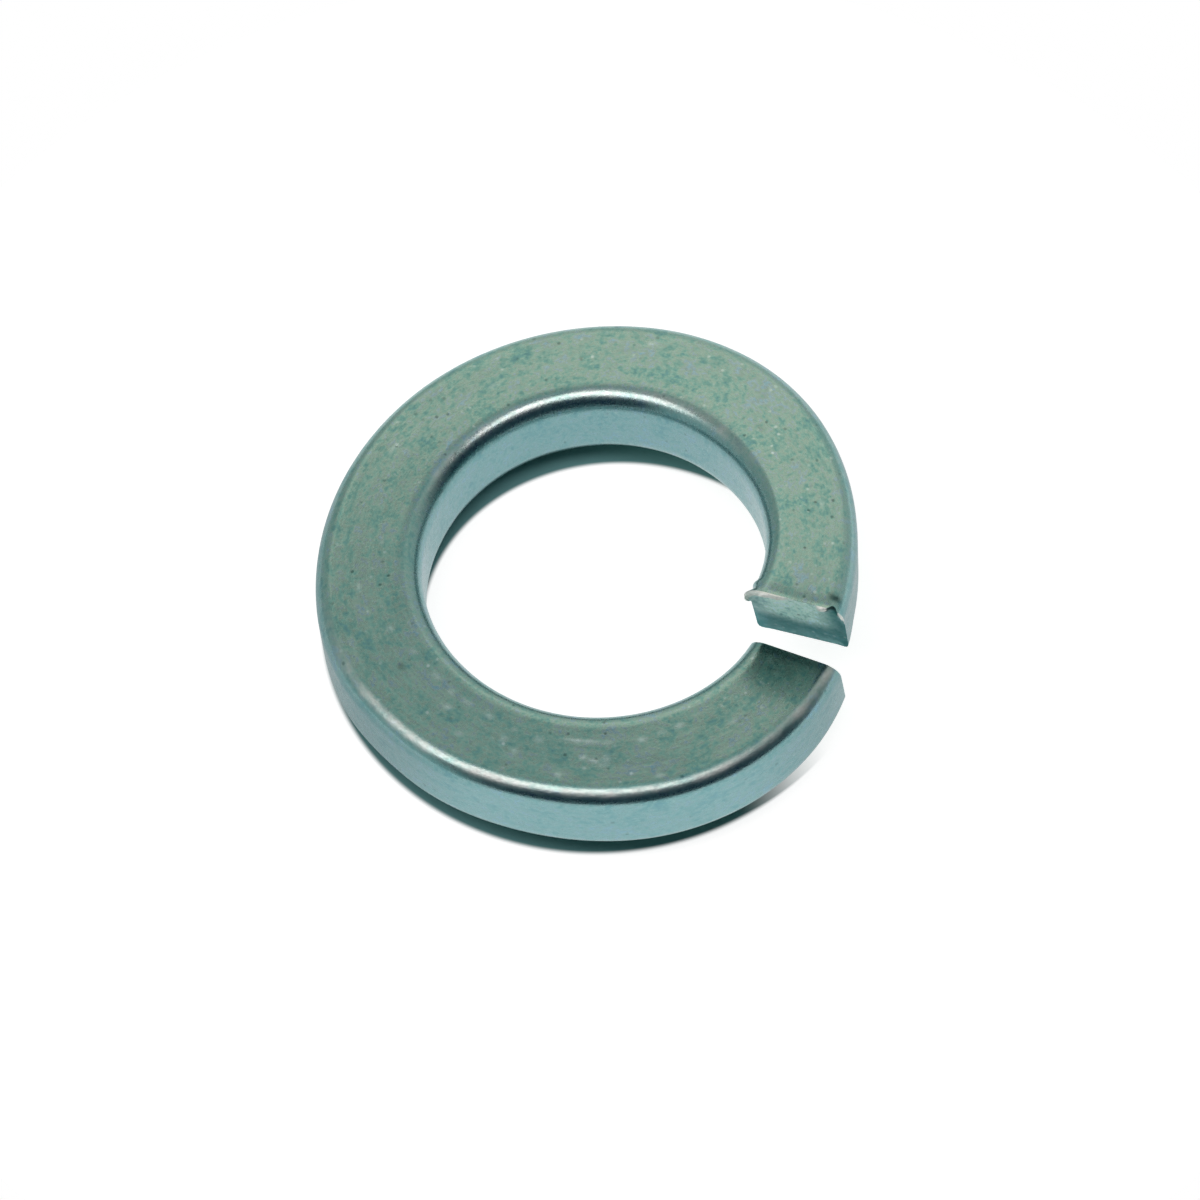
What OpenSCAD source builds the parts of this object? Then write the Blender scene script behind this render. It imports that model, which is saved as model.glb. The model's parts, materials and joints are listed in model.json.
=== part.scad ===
// Spring lock washer: one coil of thick keystone wire, sheared apart and sprung open.
// Frame: the bore axis is +Z, the lowest point lies at z = 0, and the split is centred on +X.
// The coil is left-handed: seen from above it climbs clockwise from the low end to the high end.
// All sizes are in millimetres, all angles in degrees.

/* [View] */
// Which sub-part to show

/* [Bore and section] */
// Diameter of the bore that the screw passes through
bore_diameter = 25.0; // [20:0.5:32]
// Width of the section, from the bore wall to the rim
section_width = 7.4; // [5.5:0.1:9]
// Thickness of the section, half way across its width
section_thickness = 6.2; // [4.2:0.1:7.5]
// How much thicker the section is at the bore than at the rim
keystone_taper = 0.46; // [0:0.02:0.8]
// Radius of the four long edges
edge_radius = 1.05; // [0.3:0.05:1.6]

/* [Coil] */
// Height of the unloaded washer, tip to tip
free_height = 12.0; // [9:0.1:15]

/* [Split] */
// Width of the split seen from above, between the middles of the sheared faces
split_gap = 1.0; // [0.5:0.1:3]
// Angle between a sheared face and the bearing face, 90 is a square cut
cut_angle = 78; // [65:1:90]

/* [Smoothness] */
// Stations along the coil
coil_stations = 120; // [72:12:144]
// Facets round each long edge
edge_facets = 5; // [3:1:6]

/* [Hidden] */
bore_radius = bore_diameter / 2;
rim_radius = bore_radius + section_width;
middle_radius = bore_radius + section_width / 2;
// Half the section's thickness at any distance from the axis
function half_thickness(u) =
    section_thickness / 2 - keystone_taper * (u - middle_radius) / section_width / 2;
// Lean of the two bearing faces that the keystone gives
face_lean = atan(keystone_taper / section_width / 2);
// The walls of the sweep run past the true bore and rim by this much, and are then trimmed round
wall_allowance = 0.08;

// Centres of the long edges' rounds, tangent to a wall and to a leaning bearing face
rim_round_u = rim_radius - edge_radius;
bore_round_u = bore_radius + edge_radius;
function round_w(u) = half_thickness(u) - edge_radius / cos(face_lean);

// The section in the plane through the axis: u from the axis, w up from its middle
function rim_round(side) = [
    for (i = [0 : edge_facets - 1])
        let (a = (90 - face_lean) * (1 - i / edge_facets))
            [rim_round_u + edge_radius * cos(a), side * (round_w(rim_round_u) + edge_radius * sin(a))]
];
function bore_round(side) = [
    for (i = [0 : edge_facets - 1])
        let (a = (90 + face_lean) * (1 - i / edge_facets))
            [bore_round_u - edge_radius * cos(a), side * (round_w(bore_round_u) + edge_radius * sin(a))]
];
function reversed(list) = [for (i = [len(list) - 1 : -1 : 0]) list[i]];
section = concat(
    rim_round(1),
    [[rim_radius + wall_allowance, round_w(rim_round_u)], [rim_radius + wall_allowance, -round_w(rim_round_u)]],
    reversed(rim_round(-1)),
    bore_round(-1),
    [[bore_radius - wall_allowance, -round_w(bore_round_u)], [bore_radius - wall_allowance, round_w(bore_round_u)]],
    reversed(bore_round(1))
);
section_points = len(section);

// The climb of one full turn, so that the washer ends up free_height tall
crest_u = bore_round_u;
crest_w = half_thickness(crest_u);
cut_slope = 1 / tan(cut_angle);
crest_shift = asin((split_gap / 2 - cut_slope * crest_w) / crest_u);
turn_share = (360 - 2 * crest_shift) / 360;
turn_climb = (free_height - 2 * crest_w) / turn_share;

// Height of the coil's middle line at an angle counted from the split's centre
function middle_z(turn) = turn_climb * (0.5 - turn / 360);

// Turn at which a point of the section meets the high end's sheared plane
middle_turn = asin(split_gap / 2 / middle_radius);
function cut_turn(u, w, turn, rounds) =
    rounds == 0 ? turn
    : cut_turn(u, w, asin((split_gap / 2 - cut_slope * (w - turn_climb * (turn - middle_turn) / 360)) / u), rounds - 1);
function high_turn(p) = cut_turn(p[0], p[1], middle_turn, 8);
// The low end's plane is the same one turned half round the radial line of the split
function low_turn(p) = 360 - cut_turn(p[0], -p[1], middle_turn, 8);

function coil_point(p, share) =
    let (turn = high_turn(p) + (low_turn(p) - high_turn(p)) * share)
        [p[0] * cos(turn), p[0] * sin(turn), middle_z(turn) + p[1]];

coil_points = [
    for (i = [0 : coil_stations])
        for (p = section)
            coil_point(p, i / coil_stations)
];
lowest = min([for (p = section) coil_point(p, 1)[2]]);

coil_faces = concat(
    [[for (j = [0 : section_points - 1]) j]],
    [[for (j = [section_points - 1 : -1 : 0]) coil_stations * section_points + j]],
    [
        for (i = [0 : coil_stations - 1])
            for (j = [0 : section_points - 1])
                let (
                    k = (j + 1) % section_points,
                    a = i * section_points + j,
                    b = i * section_points + k,
                    c = (i + 1) * section_points + k,
                    d = (i + 1) * section_points + j
                )
                for (f = [[a, c, b], [a, d, c]]) f
    ]
);

// The wire, bent round once and cut off at a slant at both ends
module coiled_wire() {
    translate([0, 0, -lowest])
        polyhedron(points = coil_points, faces = coil_faces, convexity = 8);
}

module round_wall(radius) {
    translate([0, 0, -1])
        cylinder(r = radius, h = free_height + 2, $fn = 256);
}

module lock_washer() {
    difference() {
        intersection() {
            coiled_wire();
            round_wall(rim_radius);
        }
        round_wall(bore_radius);
    }
}

color([0.62, 0.68, 0.66]) lock_washer();
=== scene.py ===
"""Spring lock washer: one coil of keystone wire, sheared, sprung open and zinc plated."""

import json
import math

import bpy
from mathutils import Matrix, Vector, noise


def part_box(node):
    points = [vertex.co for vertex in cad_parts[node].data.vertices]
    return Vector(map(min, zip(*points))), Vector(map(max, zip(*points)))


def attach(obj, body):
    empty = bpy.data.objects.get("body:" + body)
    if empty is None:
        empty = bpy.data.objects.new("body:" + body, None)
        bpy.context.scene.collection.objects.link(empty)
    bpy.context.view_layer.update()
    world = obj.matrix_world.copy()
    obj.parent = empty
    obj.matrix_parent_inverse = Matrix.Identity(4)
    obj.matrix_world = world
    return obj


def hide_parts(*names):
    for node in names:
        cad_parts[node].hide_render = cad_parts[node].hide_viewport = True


bl_info = {
    "name": "Spring Lock Washer",
    "version": (1, 0, 0),
    "blender": (4, 5, 0),
    "location": "View3D > Sidebar > Lock Washer",
    "description": "Builds a zinc-plated spring lock washer and a plain studio round it",
    "category": "Object",
}

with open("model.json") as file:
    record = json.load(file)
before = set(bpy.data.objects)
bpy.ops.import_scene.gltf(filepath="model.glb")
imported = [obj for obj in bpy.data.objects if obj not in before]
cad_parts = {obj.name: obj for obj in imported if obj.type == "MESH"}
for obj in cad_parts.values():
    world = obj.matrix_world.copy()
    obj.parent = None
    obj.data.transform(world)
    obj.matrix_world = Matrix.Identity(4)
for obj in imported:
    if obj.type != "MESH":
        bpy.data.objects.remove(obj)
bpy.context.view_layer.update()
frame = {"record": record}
NODE_LOW, NODE_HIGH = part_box("lock_washer")
BORE_MOUNT = next(m for m in frame["record"]["mounts"] if m["name"] == "bore")

MM = 0.001
RIM_RADIUS = NODE_HIGH.x
FREE_HEIGHT = NODE_HIGH.z
BORE_RADIUS = BORE_MOUNT["dims"]["r_mm"] * MM
# Radius of the solid's long edges, in millimetres: its crest stands this far out from the bore
EDGE_RADIUS = 1.05

# Relief that the blade leaves at the cuts, in millimetres
ROLLOVER = 0.07
ROLLOVER_LENGTH = 0.7
LIP_RISE = 0.07
LIP_REACH = 0.42
LIP_BELOW_EDGE = 0.18
NICK_DEPTH = 0.45
SPUR_REACH = 0.42
SPUR_LENGTH = 0.28
SPUR_WIDTH = 0.7
SECOND_SPUR_REACH = 0.2
SECOND_SPUR_PLACE = 0.95
# Unevenness that rolling and drawing leave, in millimetres
ROLLED_WAVE = 0.02
ROLLED_RIPPLE = 0.006

# Turn, rise and roll of the camera in degrees, read from the photograph's perspective
CAMERA_ANGLES = (29.5004, 53.9596, 6.2596)
# Place of the camera right, up and back from the washer's middle, in rim radii
CAMERA_PLACE = (0.0259, -0.0901, 16.0)
# Sizes of the stage in metres
FLOOR_RADIUS = 0.06
FLOOR_SIDES = 96
SHADOW_FALL = 0.001
SOFTBOX_SIZE = (0.42, 0.105)
SOFTBOX_HEIGHT = 0.25
# How far the softbox hangs towards the camera and to its left, as shares of its height
SOFTBOX_LEAN = (0.26, 0.2)
# How fast the shadow draws in as the coil rises from the paper
SHADOW_RISE = 0.95
# The paper's own light: to the camera, in the metal, and what the strip under the split adds there
GLOW_TO_CAMERA = 0.82
GLOW_IN_METAL = 0.68
GLOW_UNDER_SPLIT = 1.1


def srgb(code):
    """Linear colour of an sRGB hex value such as #A4B6B0."""
    out = []
    for i in (1, 3, 5):
        c = int(code[i : i + 2], 16) / 255
        out.append(c / 12.92 if c <= 0.04045 else ((c + 0.055) / 1.055) ** 2.4)
    return out[0], out[1], out[2]


def add_node(tree, kind, inputs=None, out=0, **settings):
    """Adds one shader node and gives its output; an input is a value, or a socket to link from."""
    node = tree.nodes.new("ShaderNode" + kind)
    for name, value in settings.items():
        setattr(node, name, value)
    for key, value in (inputs or {}).items():
        if isinstance(value, bpy.types.NodeSocket):
            tree.links.new(value, node.inputs[key])
        else:
            node.inputs[key].default_value = value
    return node.outputs[out] if len(node.outputs) else None


def set_ramp(node, stops):
    """Fills a colour ramp with (position, linear colour) stops."""
    ramp = node.color_ramp
    while len(ramp.elements) > 1:
        ramp.elements.remove(ramp.elements[-1])
    ramp.elements[0].position = stops[0][0]
    ramp.elements[0].color = (*stops[0][1], 1)
    for position, colour in stops[1:]:
        ramp.elements.new(position).color = (*colour, 1)


def smooth(x):
    """Soft step from 0 to 1."""
    x = min(max(x, 0.0), 1.0)
    return x * x * (3 - 2 * x)


class LockWasherWire(bpy.types.PropertyGroup):
    """Sizes of the keystone wire and of the coil."""

    rim_radius: bpy.props.FloatProperty(
        name="Rim radius", description="Axis to the outer wall", default=RIM_RADIUS, unit="LENGTH"
    )
    bore_radius: bpy.props.FloatProperty(
        name="Bore radius", description="Axis to the bore wall", default=BORE_RADIUS, unit="LENGTH"
    )
    thickness: bpy.props.FloatProperty(
        name="Thickness", description="Section half way across its width", default=0.0062, unit="LENGTH"
    )
    taper: bpy.props.FloatProperty(
        name="Keystone taper", description="Extra thickness at the bore", default=0.00046, unit="LENGTH"
    )
    rim_round: bpy.props.FloatVectorProperty(
        name="Rim rounds",
        description="Reach across the face and down the wall",
        size=2,
        default=(0.00125, 0.00135),
        unit="LENGTH",
    )
    bore_round: bpy.props.FloatVectorProperty(
        name="Bore rounds",
        description="Reach across the face and down the wall",
        size=2,
        default=(0.0015, 0.00176),
        unit="LENGTH",
    )
    free_height: bpy.props.FloatProperty(
        name="Free height", description="Unloaded height, tip to tip", default=FREE_HEIGHT, unit="LENGTH"
    )
    split_gap: bpy.props.FloatProperty(
        name="Split gap",
        description="Gap seen from above, half way down the cut",
        default=0.001,
        unit="LENGTH",
    )
    cut_skew: bpy.props.FloatProperty(
        name="Cut skew",
        description="How far the upper cut runs out of square, rim to bore",
        default=0.0006,
        unit="LENGTH",
    )
    cut_angle: bpy.props.FloatProperty(
        name="Cut angle",
        description="Sheared face against bearing face",
        default=math.radians(78),
        subtype="ANGLE",
    )
    station_step: bpy.props.FloatProperty(
        name="Station step", description="Mesh spacing along the wire", default=0.0002, unit="LENGTH"
    )


class LockWasherFinish(bpy.types.PropertyGroup):
    """Colours of the plating."""

    bearing_colour: bpy.props.FloatVectorProperty(
        name="Bearing faces",
        description="Passivated zinc, flat faces",
        default=srgb("#9ABFBB"),
        subtype="COLOR",
    )
    wall_colour: bpy.props.FloatVectorProperty(
        name="Side walls",
        description="Passivated zinc, drawn walls",
        default=srgb("#89B4BB"),
        subtype="COLOR",
    )
    # Dark teal: dull torn metal, partly painted shade at the foot and sides of each cut
    sheared_colour: bpy.props.FloatVectorProperty(
        name="Sheared faces",
        description="Passivated zinc, sheared ends",
        default=srgb("#1E7A80"),
        subtype="COLOR",
    )
    burr_colour: bpy.props.FloatVectorProperty(
        name="Burr", description="Bright metal on the torn lip", default=srgb("#F2F4EE"), subtype="COLOR"
    )


class LockWasherStudio(bpy.types.PropertyGroup):
    """Floor, lamps and camera."""

    floor_colour: bpy.props.FloatVectorProperty(
        name="Floor", description="Matt paper", default=srgb("#BEBEBC"), subtype="COLOR"
    )
    overhead_power: bpy.props.FloatProperty(
        name="Overhead lamp", description="Power of the softbox, in watts", default=0.33
    )
    lens: bpy.props.FloatProperty(
        name="Lens", description="Focal length on a 36 mm sensor", default=132.866, unit="CAMERA"
    )


# How the sprung coil departs from a circle, in millimetres: waves per turn, cosine and sine parts
OUT_OF_ROUND = ((2, -0.141, -0.204), (3, 0.070, -0.133), (4, 0.001, -0.041))
# How the wire spreads and narrows round the coil, half of it at each wall, in the same terms
SPREAD = (
    (0, 0.081, 0.0), (1, -0.204, -0.024), (2, -0.124, -0.077), (3, 0.008, -0.098), (4, -0.015, -0.092),
)
# The rim stands out at the front and in at the front left: turn, reach in degrees, millimetres
RIM_BULGES = ((303, 22, 0.25), (246, 12, -0.2))
# The bore stands out a little more at the back left, in the same terms
BORE_BULGES = ((147, 28, 0.2),)

# Torn lip along the high end's top edge: share of the way from bore to rim, strength, below zero a nick
LIP = (
    (-0.1, 1.0), (0.10, 1.0), (0.22, 0.8), (0.32, 0.85), (0.42, 0.35), (0.50, 0.12), (0.70, 0.15),
    (0.78, 0.75), (0.83, 0.5), (0.87, -0.9), (0.92, -0.5), (0.95, 0.4), (1.1, 0.3),
)
# Handling scuffs on the top face: turn in degrees, then radius, half length and half width in
# millimetres, and strength, below zero dark; the wide dark one at the low end is painted shade, the
# high end's dark cut mirrored there, and the dark one at 2.4 degrees is painted shade in the nick
SCUFFS_AND_SHADE = (
    (236.0, 14.89, 0.30, 0.16, 0.5), (246.6, 14.85, 0.45, 0.16, 0.7), (253.0, 14.97, 0.30, 0.18, 0.5),
    (258.4, 14.91, 0.50, 0.14, 0.7), (265.9, 15.05, 0.35, 0.20, 0.6), (274.0, 15.30, 0.25, 0.14, 0.4),
    (280.9, 15.55, 0.30, 0.20, 0.6), (290.5, 15.18, 0.80, 0.13, 1.0), (294.5, 15.20, 0.50, 0.13, 0.7),
    (298.5, 15.28, 0.50, 0.13, 0.6), (307.4, 15.36, 0.28, 0.18, 1.0), (313.0, 15.10, 0.30, 0.16, 0.5),
    (318.0, 15.00, 0.35, 0.18, 0.8), (226.6, 15.51, 0.25, 0.18, 0.8), (255.3, 16.03, 0.30, 0.20, 0.8),
    (238.2, 16.19, 0.30, 0.22, -0.9), (272.4, 16.29, 0.22, 0.40, 0.6), (276.0, 16.90, 0.20, 0.30, 0.5),
    (292.5, 16.45, 0.22, 0.16, 1.0), (295.0, 16.70, 0.35, 0.16, 0.8), (298.0, 16.55, 0.25, 0.40, 0.7),
    (297.0, 17.00, 0.30, 0.16, 0.5), (287.0, 18.05, 0.22, 0.18, 0.8), (309.0, 18.30, 0.24, 0.16, 0.8),
    (353.0, 16.20, 2.40, 2.20, -0.8), (2.4, 18.95, 0.25, 0.45, -1.6), (262.0, 17.20, 0.25, 0.20, 0.5),
    (330.0, 16.60, 0.30, 0.16, 0.5), (212.0, 16.80, 0.40, 0.16, 0.5),
    (198.0, 15.30, 0.35, 0.15, 0.5), (170.0, 17.40, 0.50, 0.14, 0.4), (140.0, 16.20, 0.40, 0.18, 0.5),
    (100.0, 17.80, 0.30, 0.18, 0.4), (60.0, 15.40, 0.35, 0.16, -0.5), (30.0, 17.20, 0.30, 0.20, 0.4),
)


def waves(table, a):
    """Sum of the waves of a table at an angle."""
    return sum(c * math.cos(k * a) + s * math.sin(k * a) for k, c, s in table)


def bell(x):
    """Bell curve, 1 at 0."""
    return math.exp(-x * x)


def along_table(table, x):
    """Value at x of a table of (x, value) pairs, smoothed between them."""
    for (x0, y0), (x1, y1) in zip(table, table[1:]):
        if x < x1:
            return y0 + (y1 - y0) * smooth((x - x0) / (x1 - x0))
    return table[-1][1]


class Section:
    """The wire's section and the coil it is bent into, in millimetres and degrees."""

    def __init__(self, wire):
        self.rim = wire.rim_radius / MM
        self.bore = wire.bore_radius / MM
        self.middle = (self.rim + self.bore) / 2
        self.width = self.rim - self.bore
        self.thick = wire.thickness / MM
        self.taper = wire.taper / MM
        self.rim_round = [x / MM for x in wire.rim_round]
        self.bore_round = [x / MM for x in wire.bore_round]
        self.gap = wire.split_gap / MM
        self.skew = wire.cut_skew / MM
        self.slope = 1 / math.tan(wire.cut_angle)
        crest_u = self.bore + EDGE_RADIUS
        crest_w = self.half(crest_u)
        shift = math.degrees(math.asin((self.gap / 2 - self.slope * crest_w) / crest_u))
        self.climb = (wire.free_height / MM - 2 * crest_w) / ((360 - 2 * shift) / 360)
        self.centre_z = wire.free_height / MM / 2
        self.start = math.degrees(math.asin(self.gap / 2 / self.middle))

    def half(self, u):
        """Half the section's thickness at a distance from the axis."""
        return self.thick / 2 - self.taper * (u - self.middle) / self.width / 2

    def cut(self, u, w, skew):
        """Turn from the split's middle to the cut through a section point."""
        turn = self.start
        back = self.gap / 2 - skew * (self.rim - u) / self.width
        # The wire falls as it turns, which moves the cut a little: a few steps settle it
        for _ in range(8):
            drop = self.climb * (turn - self.start) / 360
            turn = math.degrees(math.asin((back - self.slope * (w - drop)) / u))
        return turn

    def high(self, u, w):
        """Turn at which a section point meets the high end's cut."""
        return self.cut(u, w, self.skew)

    def low(self, u, w):
        """Turn at which a section point meets the low end's cut."""
        return 360 - self.cut(u, -w, 0.0)

    def place(self, u, w, turn):
        """Point of the coil, in millimetres."""
        a = math.radians(turn)
        share = (u - self.middle) / self.width * 2
        u += waves(OUT_OF_ROUND, a) + waves(SPREAD, a) * share
        u += sum(high * bell((turn - at) / reach) for at, reach, high in RIM_BULGES) * (1 + share) / 2
        u += sum(high * bell((turn - at) / reach) for at, reach, high in BORE_BULGES) * (1 - share) / 2
        z = self.centre_z + self.climb * (0.5 - turn / 360) + w
        return Vector((u * math.cos(a), u * math.sin(a), z))

    def top(self, u):
        """Height of the section's upper outline at u, rounds included."""
        w = self.half(u)
        for edge, side, reach in ((self.rim, 1, self.rim_round), (self.bore, -1, self.bore_round)):
            past = 1 - min(max((edge - u) * side / reach[0], 0.0), 1.0)
            w -= reach[1] * (1 - math.sqrt(1 - past * past))
        return w

    def outline(self):
        """Section points as (u, w, wall share), counter-clockwise from the rim's middle."""
        wall_steps, round_steps, face_steps = 9, 12, 28
        quarter = [("wall", i / wall_steps) for i in range(wall_steps)]
        quarter += [("round", i / round_steps) for i in range(round_steps)]
        points = []

        def corner(side_u, side_w, kind, share):
            edge = self.rim if side_u > 0 else self.bore
            reach_u, reach_w = self.rim_round if side_u > 0 else self.bore_round
            if kind == "wall":
                return edge, side_w * (self.half(edge) - reach_w) * share, 1.0
            a = math.radians(90 * share)
            u = edge - side_u * reach_u * (1 - math.cos(a))
            w = self.half(u) - reach_w * (1 - math.sin(a))
            return u, side_w * w, math.cos(a)

        def face(side_w, first_u, last_u):
            for i in range(face_steps):
                u = first_u + (last_u - first_u) * i / face_steps
                points.append((u, side_w * self.half(u), 0.0))

        inner_u = self.bore + self.bore_round[0]
        outer_u = self.rim - self.rim_round[0]
        points.extend(corner(1, 1, *q) for q in quarter)
        face(1, outer_u, inner_u)
        points.extend(reversed([corner(-1, 1, *q) for q in quarter[1:]]))
        points.extend(corner(-1, -1, *q) for q in quarter)
        face(-1, inner_u, outer_u)
        points.extend(reversed([corner(1, -1, *q) for q in quarter[1:]]))
        return points


def wander(place, size, seed):
    """Smooth random value from -1 to 1 that changes over a size in millimetres."""
    return noise.noise(Vector(place) / size + Vector((seed, seed * 1.7, seed * 0.3)))


def coil_mesh(section, step):
    """Vertices, faces and point values of the whole wire."""
    outline = section.outline()
    count = len(outline)
    length = math.radians(360) * section.middle
    # Stations stand closer near the cuts: distances from a cut in millimetres
    near = [0, 0.05, 0.1, 0.16, 0.24, 0.34, 0.46, 0.6, 0.76, 0.94, 1.14, 1.36, 1.6]
    body = int((length - 2 * near[-1]) / step)
    shares = [x / length for x in near]
    first, last = shares[-1], 1 - shares[-1]
    shares += [first + (last - first) * i / body for i in range(1, body)]
    shares += [1 - x / length for x in reversed(near)]

    points, places, walls, scuffs_and_shade, lips, bright, faces, ends = [], [], [], [], [], [], [], []

    for share in shares:
        for u, w, wall in outline:
            high = section.high(u, w)
            low = section.low(u, w)
            turn = high + (low - high) * share
            from_high = math.radians(turn - high) * u
            from_low = math.radians(low - turn) * u
            points.append(relief(section, u, w, turn, wall, from_high, from_low) * MM)
            places.append((math.radians(turn) * section.middle, u, w))
            walls.append(wall)
            scuffs_and_shade.append(scuff_and_shade(u, w, turn, section.middle))
            bright.append(0.0)
            lips.append(lip_strength(section, u) * bell(from_high / 0.07) if w > 1 else 0.0)
    for i in range(len(shares) - 1):
        for j in range(count):
            k = (j + 1) % count
            a, b = i * count + j, i * count + k
            faces.append((a, a + count, b + count, b))
            ends.append(0)

    # Rings that close each sheared face, as shares of the outline's size
    scales = [0.985, 0.96, 0.93, 0.89, 0.84, 0.78, 0.71, 0.63, 0.54, 0.44, 0.33, 0.21, 0.1]
    for side in (0, 1):
        ring = 0 if side == 0 else (len(shares) - 1) * count
        for scale in scales + [0]:
            base = len(points)
            loop = outline if scale else [(section.middle, 0, 0)]
            for u, w, wall in loop:
                su = section.middle + (u - section.middle) * scale
                sw = w * scale
                turn = section.high(su, sw) if side == 0 else section.low(su, sw)
                along = math.radians(turn) * section.middle
                points.append(sheared_relief(section, su, sw, turn, side, scale) * MM)
                places.append((along, su, sw))
                walls.append(0.5)
                below = section.top(su) - sw
                if side == 0:
                    # Painted shade darkens the nick; the pale middle and upper part is burnished, partly
                    # painted highlight
                    scuffs_and_shade.append(-2.2 * bell((su - 18.95) / 0.4) * bell((below - 0.1) / 0.3))
                    bright.append(bell(((su - 15.7) / 2.8) ** 2) * smooth((sw + 1.3) / 1.6))
                    lips.append(lip_strength(section, su) * bell((below - 0.14) / 0.2))
                else:
                    scuffs_and_shade.append(0.0)
                    bright.append(0.4)
                    lips.append(0.0)
            for j in range(count):
                k = (j + 1) % count
                face = (ring + j, ring + k, base + k, base + j) if scale else (ring + j, ring + k, base)
                faces.append(face if side == 0 else tuple(reversed(face)))
                ends.append(1)
            ring = base
    return points, faces, places, walls, scuffs_and_shade, lips, bright, ends


def scuff_and_shade(u, w, turn, middle):
    """Strength of the handling scuffs and of two patches of painted shade, pale above zero and dark below."""
    if w < 0:
        return 0.0
    total = 0.0
    for at, mark_u, long, wide, strength in SCUFFS_AND_SHADE:
        away = math.radians(turn - at) * middle
        if abs(away) < 3.5 * long and abs(u - mark_u) < 3.5 * wide:
            ragged = 1 + 0.5 * wander((away, u, at), 0.35, 2.3)
            total += strength * ragged * bell(away / long) * bell((u - mark_u) / wide)
    return total


def lip_strength(section, u):
    """How far the blade tore the high end's top edge, ragged along it."""
    value = along_table(LIP, (u - section.bore) / section.width)
    return value * (1 + 0.35 * wander((u, 0, 0), 0.6, 4.4) + 0.2 * wander((u, 3, 0), 0.2, 6.1))


def squared(section, u, w, from_high):
    """Section point with the lower corners filled out, as the blade presses them at the high end."""
    if w > 0 or from_high > 3:
        return u, w
    side = 1 if u > section.middle else -1
    edge = section.rim if side > 0 else section.bore
    reach_u, reach_w = section.rim_round if side > 0 else section.bore_round
    past_u = (u - edge) * side / reach_u + 1
    past_w = (-w - section.half(u)) / reach_w + 1
    if past_u <= 0 or past_w <= 0:
        return u, w
    size = math.hypot(past_u, past_w)
    # A power of 2 keeps the plain round, and a higher one fills out its corner
    power = 2 + 5 * bell(from_high / 1.3)
    grow = ((past_u / size) ** power + (past_w / size) ** power) ** (-1 / power) - 1
    return u + side * reach_u * past_u * grow, w - reach_w * past_w * grow


def relief(section, u, w, turn, wall, from_high, from_low):
    """Coil point with the small unevenness that rolling, coiling and shearing leave."""
    a = math.radians(turn)
    along = a * section.middle
    u, w = squared(section, u, w, from_high)
    side_w = 1 if w > 0 else -1
    lump = ROLLED_WAVE * wander((along, u * 2, side_w * 9), 5.0, 3.1)
    lump += ROLLED_RIPPLE * wander((along, u, side_w * 9), 0.9, 5.2)
    w += side_w * (1 - wall) * lump
    u += (1 if u > section.middle else -1) * wall * ROLLED_WAVE * wander((along, w, u), 4.0, 7.7)
    # The blade draws the face down before it parts the wire
    w -= side_w * ROLLOVER * bell(min(from_high, from_low) / ROLLOVER_LENGTH) * (1 - wall)
    if w < 1 or from_high > 2:
        return section.place(u, w, turn)
    strength = lip_strength(section, u)
    inner = bell((u - section.bore) / SPUR_WIDTH)
    # A spur stands out into the bore at the cut, with a smaller one behind it
    spurs = SPUR_REACH * bell(from_high / SPUR_LENGTH)
    spurs += SECOND_SPUR_REACH * bell((from_high - SECOND_SPUR_PLACE) / SPUR_LENGTH)
    u -= inner * spurs
    w += LIP_RISE * max(strength, 0) * bell(from_high / 0.15)
    point = section.place(u, w, turn)
    return point - Vector((-math.sin(a), math.cos(a), 0)) * lip_reach(strength, 0.0) * bell(from_high / 0.2)


def lip_reach(strength, below):
    """How far the torn lip stands out from the sheared face, at a depth below the top edge."""
    if strength < 0:
        return NICK_DEPTH * strength * bell(below / 0.35)
    fade = 0.17 if below < LIP_BELOW_EDGE else 0.5
    return LIP_REACH * strength * bell((below - LIP_BELOW_EDGE) / fade)


def sheared_relief(section, u, w, turn, side, scale):
    """Point of a sheared end, with the ridges that the blade drags down it."""
    if side == 0:
        u, w = squared(section, u, w, 0.0)
    point = section.place(u, w, turn)
    a = math.radians(turn)
    along = Vector((-math.sin(a), math.cos(a), 0))
    depth = 0.03 * wander((u * 4, w, side * 5), 1.0, 1.3) + 0.04 * wander((u, w, side * 5), 2.2, 5.9)
    point += along * depth * smooth((1 - scale) / 0.1)
    if side == 0:
        below = section.top(u) - w
        strength = lip_strength(section, u)
        point -= along * lip_reach(strength, below)
        point.z += LIP_RISE * max(strength, 0) * bell(below / 0.15)
        inner = bell((u - section.bore) / SPUR_WIDTH) * bell(below / 0.35)
        point -= Vector((math.cos(a), math.sin(a), 0)) * SPUR_REACH * inner
        point.z -= ROLLOVER * bell(below / 0.3) * (1 - max(strength, 0))
    return point


def soft_zone(tree, *limits):
    """Product of soft ramps: each is a value, its low and high ends and what it gives there."""
    share = 1.0
    for value, low, high, first, last in limits:
        ends = {0: value, 1: low, 2: high, 3: first, 4: last}
        ramp = add_node(tree, "MapRange", ends, interpolation_type="SMOOTHSTEP")
        share = add_node(tree, "Math", {0: share, 1: ramp}, operation="MULTIPLY")
    return share


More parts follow.
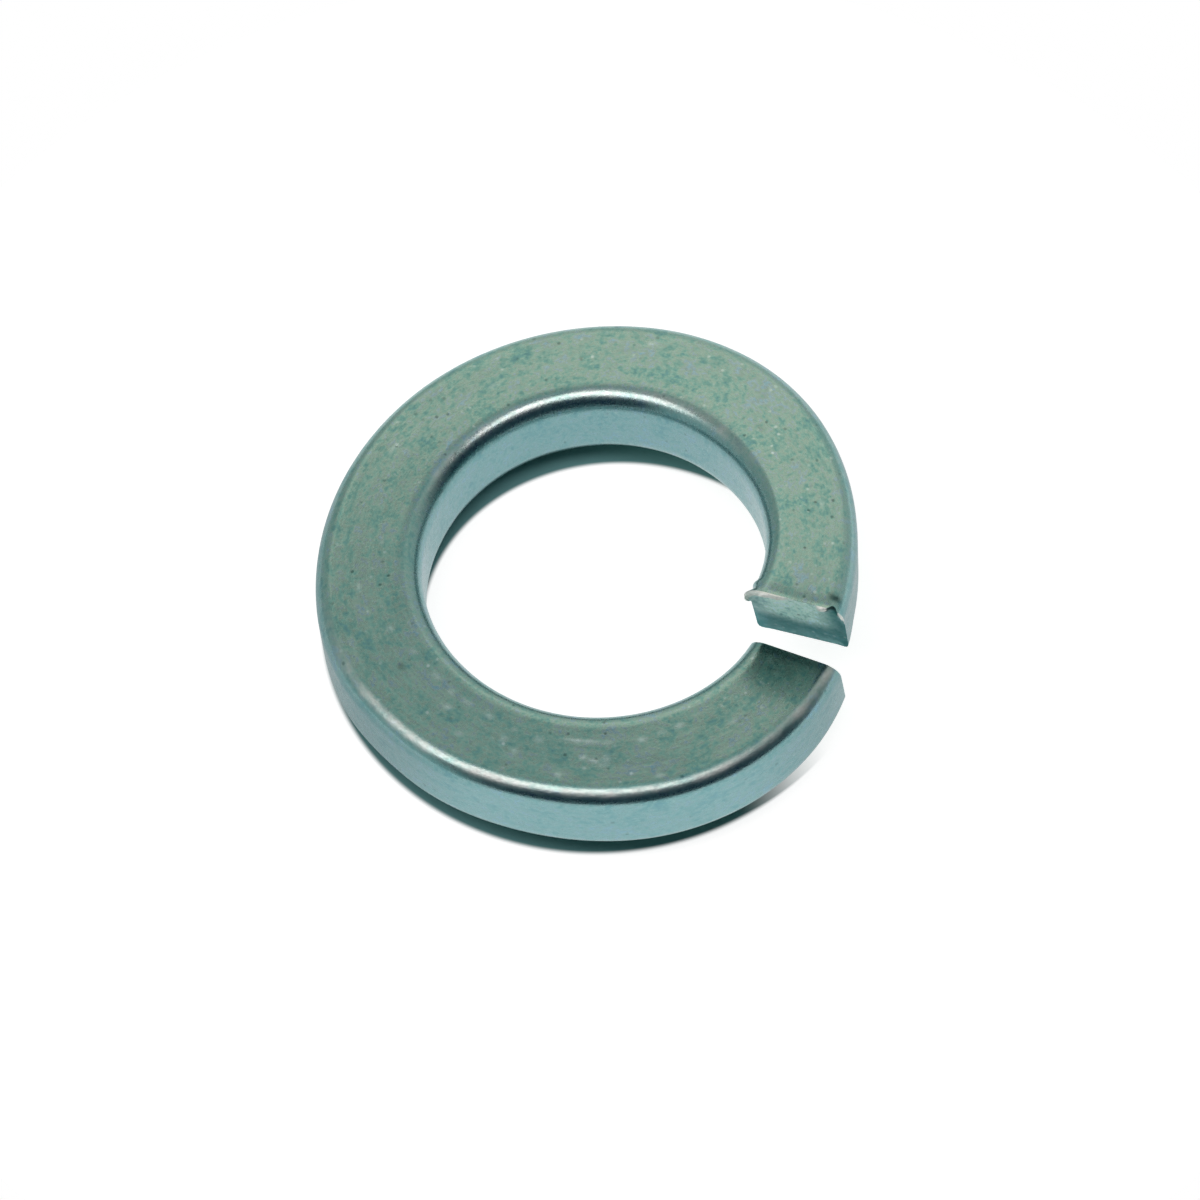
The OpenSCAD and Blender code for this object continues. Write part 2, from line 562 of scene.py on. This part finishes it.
def plating_nodes(tree, finish, sheared):
    """Surface of blue-passivated zinc: satin and mottled where rolled, finely scored where sheared, with
    painted highlight and shade.
    """
    place = add_node(tree, "Attribute", out="Vector", attribute_name="wire_place")
    names = ("wall_share", "scuff_and_shade", "torn_lip", "burnish_and_painted_light")
    wall, scuff_or_shade, lip, burnish_and_painted_light = [add_node(tree, "Attribute", out="Fac", attribute_name=name) for name in names]
    along, across, _ = add_node(tree, "SeparateXYZ", {0: place}).node.outputs

    clouds = []
    for stretch, detail, roughness in (
        # The passivation changes hue in patches of about 2 mm
        ((0.42, 0.55, 0.55), 3.0, 0.6),
        # A finer mottle of about 0.5 mm lies over them
        ((2.1, 2.5, 2.5), 4.0, 0.65),
        # Crystal grain of the zinc, drawn at 0.15 mm, coarser than life so that it shows
        ((4.6, 6.4, 6.4), 2.0, 0.6),
        # Rolling and drawing marks run along the wire, about 0.3 mm apart; the blade's run down the cut
        ((3.0, 3.4, 0.35) if sheared else (0.22, 3.4, 3.4), 4.0, 0.6),
        # Handling rubs the edges unevenly, over about 2 mm; the same cloud breaks up the painted highlight on
        # the rounds
        ((0.5, 0.6, 0.6), 4.0, 0.65),
    ):
        at = add_node(tree, "VectorMath", {0: place, 1: stretch}, operation="MULTIPLY")
        settings = {"Vector": at, "Scale": 1.0, "Detail": detail, "Roughness": roughness}
        clouds.append(add_node(tree, "TexNoise", settings))
    patch, mottle, grain, drag, wear_and_sheen_cloud = clouds

    # The zinc's own colour
    if sheared:
        # Pale middle of the cut: burnished, partly painted highlight; dark teal below and at the sides: dull,
        # partly painted shade
        spread = add_node(tree, "MapRange", {0: mottle, 1: 0.3, 2: 0.7, 3: 0.8, 4: 1.25})
        share = add_node(tree, "Math", {0: burnish_and_painted_light, 1: spread}, operation="MULTIPLY")
        plain, other = finish.sheared_colour, srgb("#E4FFFF")
    else:
        share, plain, other = wall, finish.bearing_colour, finish.wall_colour
    base = add_node(tree, "Mix", {0: share, 6: (*plain, 1), 7: (*other, 1)}, out=2, data_type="RGBA")

    # Its hue runs from blue through yellow to pink with the thickness of the passivation
    hue = add_node(tree, "Math", {0: patch, 1: 0.45}, operation="MULTIPLY")
    hue = add_node(tree, "Math", {0: mottle, 1: 0.55, 2: hue}, operation="MULTIPLY_ADD")
    tint = add_node(tree, "ValToRGB", {0: hue})
    set_ramp(
        tint.node,
        [
            (0.36, srgb("#D0EEF2")),
            (0.43, srgb("#E2F8EC")),
            (0.49, srgb("#FCFCF0")),
            (0.54, srgb("#FFF2E2")),
            (0.59, srgb("#F6E8F0")),
            (0.66, srgb("#DAE3F2")),
        ],
    )
    settings = {"data_type": "RGBA", "blend_type": "MULTIPLY"}
    tinted = add_node(tree, "Mix", {0: 1.0, 6: base, 7: tint}, out=2, **settings)
    tint_share = add_node(tree, "MapRange", {0: wall, 3: 1.0, 4: 0.0 if sheared else 0.45})
    colour = add_node(tree, "Mix", {0: tint_share, 6: base, 7: tinted}, out=2, data_type="RGBA")

    # Pale flecks and small dark pits, about one in each square millimetre, fewer on the walls,
    # and the handling scuffs, pale or dark; the painted shade at the nick and the low end joins the dark pits
    speck = add_node(tree, "TexVoronoi", {"Vector": place, "Scale": 1.4}).node.outputs
    near = add_node(tree, "MapRange", {0: speck["Distance"], 1: 0.1, 2: 0.24, 3: 1.0, 4: 0.0})
    kind = add_node(tree, "SeparateXYZ", {0: speck["Color"]})
    flecks = []
    for low, high, strength, wall_end, wall_share, side, scuff_share in (
        (0.7, 0.95, 0.6, 0.6, 0.15, "MAXIMUM", 0.8),
        (0.3, 0.05, 0.55, 1.0, 0.5, "MINIMUM", -0.6),
    ):
        chance = add_node(tree, "MapRange", {0: kind, 1: low, 2: high, 3: 0.0, 4: strength})
        fewer = add_node(tree, "MapRange", {0: wall, 2: wall_end, 3: 1.0, 4: wall_share})
        spots = add_node(tree, "Math", {0: near, 1: chance}, operation="MULTIPLY")
        spots = add_node(tree, "Math", {0: spots, 1: fewer}, operation="MULTIPLY")
        scuffed_or_shaded = add_node(tree, "Math", {0: scuff_or_shade, 1: 0.0}, operation=side)
        inputs = {0: scuffed_or_shaded, 1: scuff_share, 2: spots}
        flecks.append(add_node(tree, "Math", inputs, operation="MULTIPLY_ADD", use_clamp=True))
    pale, pits_and_shade = flecks
    # Bright torn metal on the lip
    torn = soft_zone(tree, (lip, 0.1, 0.5, 0.0, 0.9))

    layers = [(pale, srgb("#DCEEE8")), (pits_and_shade, srgb("#243C3C")), (torn, finish.burr_colour)]
    rougher = [(torn, 0.1)]
    if sheared:
        rougher.append((burnish_and_painted_light, 0.22))
    else:
        # Rounds paler where the highlight line runs, at the front rim and far side of the bore: wear and
        # painted highlight
        wear_and_sheen = add_node(tree, "MapRange", {0: wear_and_sheen_cloud, 1: 0.36, 2: 0.62, 3: 0.15, 4: 0.9})
        highlight_band = soft_zone(tree, (wall, 0.08, 0.35, 0.0, 1.0), (wall, 0.5, 0.8, 1.0, 0.0))
        highlight_band = add_node(tree, "Math", {0: highlight_band, 1: wear_and_sheen}, operation="MULTIPLY")
        at_rim = soft_zone(tree, (across, 15.5, 17.0, 0.0, 1.0), (along, 58.0, 68.0, 0.0, 1.0))
        far_side = (along, 12.0, 20.0, 0.0, 0.8), (along, 46.0, 54.0, 1.0, 0.0)
        at_bore = soft_zone(tree, *far_side, (across, 15.5, 17.0, 1.0, 0.0))
        highlight_places = add_node(tree, "Math", {0: at_rim, 1: at_bore})
        layers.insert(0, (add_node(tree, "Math", {0: highlight_band, 1: highlight_places}, operation="MULTIPLY"), srgb("#C6CBC6")))
        rougher.append((add_node(tree, "Math", {0: highlight_band, 1: at_rim}, operation="MULTIPLY"), 0.16))
    for share, over in layers:
        colour = add_node(tree, "Mix", {0: share, 6: colour, 7: (*over, 1)}, out=2, data_type="RGBA")

    # How much each pattern darkens and lightens the metal, half as much on the walls
    shade = 1.0
    for pattern, low, high, dark, light in (
        (mottle, 0.3, 0.7, 0.84, 1.14),
        (grain, 0.3, 0.7, 0.9, 1.08),
        (patch, 0.35, 0.65, 0.9, 1.09),
        (drag, 0.3, 0.7, 0.95, 1.04),
    ):
        level = add_node(tree, "MapRange", {0: pattern, 1: low, 2: high, 3: dark, 4: light})
        shade = add_node(tree, "Math", {0: shade, 1: level}, operation="MULTIPLY")
    evener = add_node(tree, "Math", {0: wall, 1: 0.5}, operation="MULTIPLY")
    shade = add_node(tree, "Mix", {0: evener, 2: shade, 3: 1.0})
    # The bore wall is painted a little darker than the rim wall: painted shade inside the hole
    inner = soft_zone(tree, (across, 14.0, 18.0, 1.0, 0.0))
    inner = add_node(tree, "Math", {0: wall, 1: inner}, operation="MULTIPLY")
    bore_painted_shade = add_node(tree, "MapRange", {0: inner, 3: 1.0, 4: 0.93})
    shade = add_node(tree, "Math", {0: shade, 1: bore_painted_shade}, operation="MULTIPLY")
    shaded = add_node(tree, "VectorMath", {0: colour, "Scale": shade}, operation="SCALE")

    # Satin, duller where the blade, the tear or handling roughened it
    dull, bright = (0.4, 0.32) if sheared else (0.3, 0.22)
    rough = add_node(tree, "MapRange", {0: mottle, 1: 0.3, 2: 0.7, 3: dull, 4: bright})
    scored = add_node(tree, "MapRange", {0: drag, 1: 0.3, 2: 0.7, 3: 0.0, 4: 0.04})
    rough = add_node(tree, "Math", {0: rough, 1: scored})
    for share, extra in rougher:
        rough = add_node(tree, "Math", {0: share, 1: extra, 2: rough}, operation="MULTIPLY_ADD")

    # The marks stand deeper on the drawn walls
    scoring = add_node(tree, "MapRange", {0: wall, 3: 0.35, 4: 0.8})
    height = add_node(tree, "Math", {0: drag, 1: scoring}, operation="MULTIPLY")
    for pattern, depth in ((grain, 0.5), (mottle, 0.9), (pits_and_shade, -0.8)):
        height = add_node(tree, "Math", {0: pattern, 1: depth, 2: height}, operation="MULTIPLY_ADD")
    bump = add_node(tree, "Bump", {"Strength": 0.55, "Distance": 0.00002, "Height": height})
    surface = {"Base Color": shaded, "Metallic": 1.0, "Roughness": rough, "Normal": bump}
    shader = add_node(tree, "BsdfPrincipled", surface)
    add_node(tree, "OutputMaterial", {"Surface": shader})


def new_material(name):
    """An empty node material."""
    material = bpy.data.materials.new(name)
    material.use_nodes = True
    material.node_tree.nodes.clear()
    return material


class LOCKWASHER_OT_coil(bpy.types.Operator):
    """Bend the keystone wire into one sheared coil and plate it"""

    bl_idname = "lockwasher.coil"
    bl_label = "Coiled wire"

    def execute(self, context):
        wire = context.scene.lockwasher_wire
        finish = context.scene.lockwasher_finish
        section = Section(wire)
        points, faces, places, walls, scuffs_and_shade, lips, bright, ends = coil_mesh(section, wire.station_step / MM)
        mesh = bpy.data.meshes.new("washer_coil")
        mesh.from_pydata(points, [], faces)
        mesh.validate()
        if len(mesh.polygons) != len(faces):
            raise RuntimeError("the coil's mesh lost faces")
        place = mesh.attributes.new("wire_place", "FLOAT_VECTOR", "POINT")
        place.data.foreach_set("vector", [x for p in places for x in p])
        shares = {"wall_share": walls, "scuff_and_shade": scuffs_and_shade, "torn_lip": lips, "burnish_and_painted_light": bright}
        for name, values in shares.items():
            mesh.attributes.new(name, "FLOAT", "POINT").data.foreach_set("value", values)
        mesh.polygons.foreach_set("material_index", ends)
        mesh.polygons.foreach_set("use_smooth", [True] * len(faces))
        mesh.set_sharp_from_angle(angle=math.radians(50))

        # Zinc plate passivated blue: a soft satin mirror with pale greenish and pinkish patches
        for name, sheared in (
            ("blue_passivated_zinc_on_rolled_steel", False),
            ("blue_passivated_zinc_on_sheared_steel", True),
        ):
            zinc = new_material(name)
            plating_nodes(zinc.node_tree, finish, sheared)
            mesh.materials.append(zinc)

        coil = bpy.data.objects.new("washer_coil", mesh)
        context.scene.collection.objects.link(coil)
        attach(coil, "root")
        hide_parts("lock_washer")
        return {"FINISHED"}


def camera_axes():
    """The camera's right, up and back, then ahead and left along the floor."""
    turn, rise, roll = (math.radians(x) for x in CAMERA_ANGLES)
    level_right = Vector((math.cos(turn), math.sin(turn), 0))
    back = Vector((math.sin(turn) * math.cos(rise), -math.cos(turn) * math.cos(rise), math.sin(rise)))
    level_up = back.cross(level_right)
    right = level_right * math.cos(roll) - level_up * math.sin(roll)
    up = level_right * math.sin(roll) + level_up * math.cos(roll)
    ahead = Vector((-back.x, -back.y, 0)).normalized()
    return right, up, back, ahead, Vector((-ahead.y, ahead.x, 0))


def rest_plane(wire):
    """The floor under the low tip and the far side: its height at the axis, and its normal."""
    section = Section(wire)
    inner = section.bore + EDGE_RADIUS
    outer = section.rim - EDGE_RADIUS
    lift = section.climb / 2 + section.half(inner) - section.half(outer)
    lean = lift / (inner + outer)
    fall = section.climb / (2 * math.pi * outer)
    return inner * lean * MM, Vector((lean, -fall, 1)).normalized()


def paper_nodes(tree, wire, studio):
    """Matt paper with a little light of its own to reach white; painted contact shadow, dark teal and unlit,
    under the coil.
    """
    _, _, _, ahead, left = camera_axes()
    section = Section(wire)
    rays = add_node(tree, "LightPath").node.outputs
    seen = add_node(tree, "Math", {0: rays["Is Camera Ray"], 1: rays["Is Glossy Ray"]})
    seen = add_node(tree, "Math", {0: seen, 1: rays["Is Transmission Ray"]})
    spot = add_node(tree, "NewGeometry", out="Position")
    x, y, z = add_node(tree, "SeparateXYZ", {0: spot}).node.outputs
    flat = add_node(tree, "VectorMath", {0: spot, 1: (1, 1, 0)}, operation="MULTIPLY")
    far = add_node(tree, "VectorMath", {0: flat}, out="Value", operation="LENGTH")

    # Height of the coil's underside over the paper, from the turn
    turn = add_node(tree, "Math", {0: y, 1: x}, operation="ARCTAN2")
    turn = add_node(tree, "Math", {0: turn, 1: 2 * math.pi, 2: 0.0}, operation="WRAP")
    start = (section.centre_z + section.climb / 2 - section.thick / 2) * MM
    fall = -section.climb * MM / (2 * math.pi)
    gap = add_node(tree, "Math", {0: turn, 1: fall, 2: start}, operation="MULTIPLY_ADD")
    gap = add_node(tree, "Math", {0: gap, 1: z}, operation="SUBTRACT")

    # Distance past the coil's walls, counted as further the higher the coil stands over the paper.
    # The painted shadow falls a little towards the front, as light from behind would cast it.
    fallen = add_node(tree, "VectorMath", {0: flat, 1: tuple(ahead * SHADOW_FALL)})
    fallen = add_node(tree, "VectorMath", {0: fallen}, out="Value", operation="LENGTH")
    past = add_node(tree, "Math", {0: fallen, 1: section.middle * MM}, operation="SUBTRACT")
    past = add_node(tree, "Math", {0: past}, operation="ABSOLUTE")
    past = add_node(tree, "Math", {0: past, 1: section.width / 2 * MM}, operation="SUBTRACT")
    past = add_node(tree, "Math", {0: gap, 1: SHADOW_RISE, 2: past}, operation="MULTIPLY_ADD")

    # Painted contact shadow: the paper counts as lit past the coil, where the coil stands high, at the low
    # end and under the split
    aside = add_node(tree, "Math", {0: y}, operation="ABSOLUTE")
    along_x = (x, 0.011, 0.013, 0.0, 1.0), (x, 0.0185, 0.0195, 1.0, 0.0)
    split = soft_zone(tree, *along_x, (aside, 0.0006, 0.0016, 1.0, 0.0))
    lit = split
    for value, low, high in (
        (past, -0.0001, 0.0004),
        (gap, 0.003, 0.0048),
        (turn, math.radians(325), math.radians(352)),
    ):
        zone = soft_zone(tree, (value, low, high, 0.0, 1.0))
        lit = add_node(tree, "Math", {0: lit, 1: zone}, operation="MAXIMUM")
    # Painted shadow: dark teal paper where it is not lit
    ends = {0: lit, 6: (*srgb("#78AAAA"), 1), 7: (*studio.floor_colour, 1)}
    colour = add_node(tree, "Mix", ends, out=2, data_type="RGBA")

    # Painted reflection: the metal sees the paper's light a little greyer than the camera, more so on both
    # sides of the washer, and brighter in a painted glow under the split
    away = add_node(tree, "VectorMath", {0: spot, 1: tuple(left)}, out="Value", operation="DOT_PRODUCT")
    bearing = add_node(tree, "Math", {0: away, 1: far}, operation="DIVIDE")
    inputs = {0: split, 1: GLOW_UNDER_SPLIT, 2: GLOW_IN_METAL}
    mirrored = add_node(tree, "Math", inputs, operation="MULTIPLY_ADD")
    for low, high, grey in ((0.5, 0.95, 0.33), (-0.4, -0.9, 0.2)):
        greyer = soft_zone(tree, (bearing, low, high, 0.0, grey), (far, 0.016, 0.018, 0.0, 1.0))
        mirrored = add_node(tree, "Math", {0: mirrored, 1: greyer}, operation="SUBTRACT")
    level = add_node(tree, "Mix", {0: rays["Is Camera Ray"], 2: mirrored, 3: GLOW_TO_CAMERA})
    strength = add_node(tree, "Math", {0: seen, 1: lit}, operation="MULTIPLY")
    strength = add_node(tree, "Math", {0: strength, 1: level}, operation="MULTIPLY")

    matt = add_node(tree, "BsdfDiffuse", {"Color": colour, "Roughness": 0.5})
    glow = add_node(tree, "Emission", {"Color": (1, 1, 1, 1), "Strength": strength})
    total = add_node(tree, "AddShader", {0: matt, 1: glow})
    add_node(tree, "OutputMaterial", {"Surface": total})


def room_nodes(tree):
    """Studio seen in the metal: a pale wall behind the washer, a dark room behind the camera."""
    _, _, _, ahead, left = camera_axes()
    way = add_node(tree, "TexCoord", out="Generated")
    rise = add_node(tree, "SeparateXYZ", {0: way}, out=2)
    across = add_node(tree, "VectorMath", {0: way, 1: tuple(left)}, out="Value", operation="DOT_PRODUCT")
    facing = add_node(tree, "VectorMath", {0: way, 1: tuple(ahead)}, out="Value", operation="DOT_PRODUCT")
    level = add_node(tree, "Math", {0: rise}, operation="ARCSINE")
    level = add_node(tree, "MapRange", {0: level, 1: 0.0, 2: math.pi / 2, 3: 0.0, 4: 1.0})
    # The wall's top edge slopes down to the camera's right
    level = add_node(tree, "Math", {0: across, 1: -0.15, 2: level}, operation="MULTIPLY_ADD")
    front = add_node(tree, "ValToRGB", {0: level})
    set_ramp(
        front.node,
        [
            (0.0, (0.7, 0.69, 0.65)),
            (0.35, (0.74, 0.72, 0.68)),
            (0.45, (1.0, 0.95, 0.9)),
            (0.5, (1.12, 1.06, 1.0)),
            (0.56, (0.97, 0.93, 0.88)),
            (0.615, (0.41, 0.425, 0.43)),
            (0.64, (0.3, 0.33, 0.345)),
            (0.7, (0.3, 0.34, 0.36)),
            (0.78, (0.40, 0.5, 0.55)),
            (0.9, (0.40, 0.53, 0.6)),
            (1.0, (0.25, 0.34, 0.4)),
        ],
    )
    rear = add_node(tree, "ValToRGB", {0: level})
    stops = [(0.0, (0.008, 0.032, 0.05)), (0.6, (0.005, 0.03, 0.055)), (1.0, (0.02, 0.045, 0.065))]
    set_ramp(rear.node, stops)
    # Past the wall's two sides the room is an even grey
    for low, high, grey in ((0.2, 0.42, (0.42, 0.46, 0.45, 1)), (-0.24, -0.42, (0.6, 0.62, 0.6, 1))):
        past = soft_zone(tree, (across, low, high, 0.0, 1.0))
        front = add_node(tree, "Mix", {0: past, 6: front, 7: grey}, out=2, data_type="RGBA")
    # The grey reaches round behind the camera on its left
    past = soft_zone(tree, (across, 0.64, 0.82, 0.0, 1.0))
    rear = add_node(tree, "Mix", {0: past, 6: rear, 7: (0.46, 0.54, 0.54, 1)}, out=2, data_type="RGBA")
    share = soft_zone(tree, (facing, -0.25, 0.3, 0.0, 1.0))
    room = add_node(tree, "Mix", {0: share, 6: rear, 7: front}, out=2, data_type="RGBA")

    # The white surroundings show to the camera, and in metal or glass where the floor runs out
    rays = add_node(tree, "LightPath").node.outputs
    below = add_node(tree, "Math", {0: rise, 1: 0.0}, operation="LESS_THAN")
    white = add_node(tree, "Math", {0: rays["Is Glossy Ray"], 1: rays["Is Transmission Ray"]})
    inputs = {0: white, 1: below, 2: rays["Is Camera Ray"]}
    white = add_node(tree, "Math", inputs, operation="MULTIPLY_ADD", use_clamp=True)
    seen = add_node(tree, "Mix", {0: white, 6: room, 7: (1, 1, 1, 1)}, out=2, data_type="RGBA")
    shader = add_node(tree, "Background", {"Color": seen, "Strength": 1.0})
    add_node(tree, "OutputWorld", {"Surface": shader})


class LOCKWASHER_OT_stage(bpy.types.Operator):
    """Set up the paper floor, the soft light and the camera"""

    bl_idname = "lockwasher.stage"
    bl_label = "Floor, light and camera"

    def execute(self, context):
        scene = context.scene
        studio = scene.lockwasher_studio
        right, up, back, ahead, left = camera_axes()

        # A disc of paper, tilted to the washer's rest plane
        height, normal = rest_plane(scene.lockwasher_wire)
        tilt = Vector((0, 0, 1)).rotation_difference(normal)
        centre = Vector((0, 0, height))
        verts = [centre]
        for i in range(FLOOR_SIDES):
            a = math.radians(360 * i / FLOOR_SIDES)
            verts.append(centre + tilt @ (Vector((math.cos(a), math.sin(a), 0)) * FLOOR_RADIUS))
        faces = [(0, 1 + i, 1 + (i + 1) % FLOOR_SIDES) for i in range(FLOOR_SIDES)]
        mesh = bpy.data.meshes.new("paper_floor")
        mesh.from_pydata(verts, [], faces)
        paper = new_material("white_paper_with_painted_shadow")
        paper_nodes(paper.node_tree, scene.lockwasher_wire, studio)
        mesh.materials.append(paper)
        floor = bpy.data.objects.new("paper_floor", mesh)
        scene.collection.objects.link(floor)

        world = bpy.data.worlds.new("studio")
        world.use_nodes = True
        world.node_tree.nodes.clear()
        room_nodes(world.node_tree)
        scene.world = world

        # Softbox overhead, which draws the bright line along each rounded edge
        lamp = bpy.data.lights.new("softbox", "AREA")
        lamp.shape = "ELLIPSE"
        lamp.size, lamp.size_y = SOFTBOX_SIZE
        lamp.energy = studio.overhead_power
        lamp.color = srgb("#FFF4F4")
        softbox = bpy.data.objects.new("softbox", lamp)
        aim = (Vector((0, 0, 1)) - ahead * SOFTBOX_LEAN[0] + left * SOFTBOX_LEAN[1]).normalized()
        side = (left - aim * left.dot(aim)).normalized()
        hang = Matrix((side, aim.cross(side), aim)).transposed().to_4x4()
        softbox.matrix_world = Matrix.Translation(aim * SOFTBOX_HEIGHT) @ hang
        scene.collection.objects.link(softbox)

        across, above, away = CAMERA_PLACE
        eye = (back * away + right * across + up * above) * RIM_RADIUS
        eye += Vector((0, 0, FREE_HEIGHT / 2))
        view = bpy.data.cameras.new("photo_view")
        view.lens = studio.lens
        view.sensor_width = 36.0
        view.clip_start = 0.01
        camera = bpy.data.objects.new("photo_view", view)
        axes = Matrix((right, up, back)).transposed().to_4x4()
        camera.matrix_world = Matrix.Translation(eye) @ axes
        scene.collection.objects.link(camera)
        scene.camera = camera
        scene.view_settings.view_transform = "Standard"
        return {"FINISHED"}


class LOCKWASHER_PT_panel(bpy.types.Panel):
    """Lists the washer's sizes, colours and building steps"""

    bl_idname = "LOCKWASHER_PT_panel"
    bl_label = "Spring Lock Washer"
    bl_space_type = "VIEW_3D"
    bl_region_type = "UI"
    bl_category = "Lock Washer"

    def draw(self, context):
        scene = context.scene
        for group in (scene.lockwasher_wire, scene.lockwasher_finish, scene.lockwasher_studio):
            column = self.layout.column(align=True)
            for name in group.__annotations__:
                column.prop(group, name)
        self.layout.operator(LOCKWASHER_OT_coil.bl_idname)
        self.layout.operator(LOCKWASHER_OT_stage.bl_idname)


CLASSES = (
    LockWasherWire,
    LockWasherFinish,
    LockWasherStudio,
    LOCKWASHER_OT_coil,
    LOCKWASHER_OT_stage,
    LOCKWASHER_PT_panel,
)


def register():
    for cls in CLASSES:
        bpy.utils.register_class(cls)
    bpy.types.Scene.lockwasher_wire = bpy.props.PointerProperty(type=LockWasherWire)
    bpy.types.Scene.lockwasher_finish = bpy.props.PointerProperty(type=LockWasherFinish)
    bpy.types.Scene.lockwasher_studio = bpy.props.PointerProperty(type=LockWasherStudio)


def unregister():
    del bpy.types.Scene.lockwasher_studio
    del bpy.types.Scene.lockwasher_finish
    del bpy.types.Scene.lockwasher_wire
    for cls in reversed(CLASSES):
        bpy.utils.unregister_class(cls)


def main():
    register()
    bpy.ops.lockwasher.coil()
    bpy.ops.lockwasher.stage()


if __name__ == "__main__":
    main()
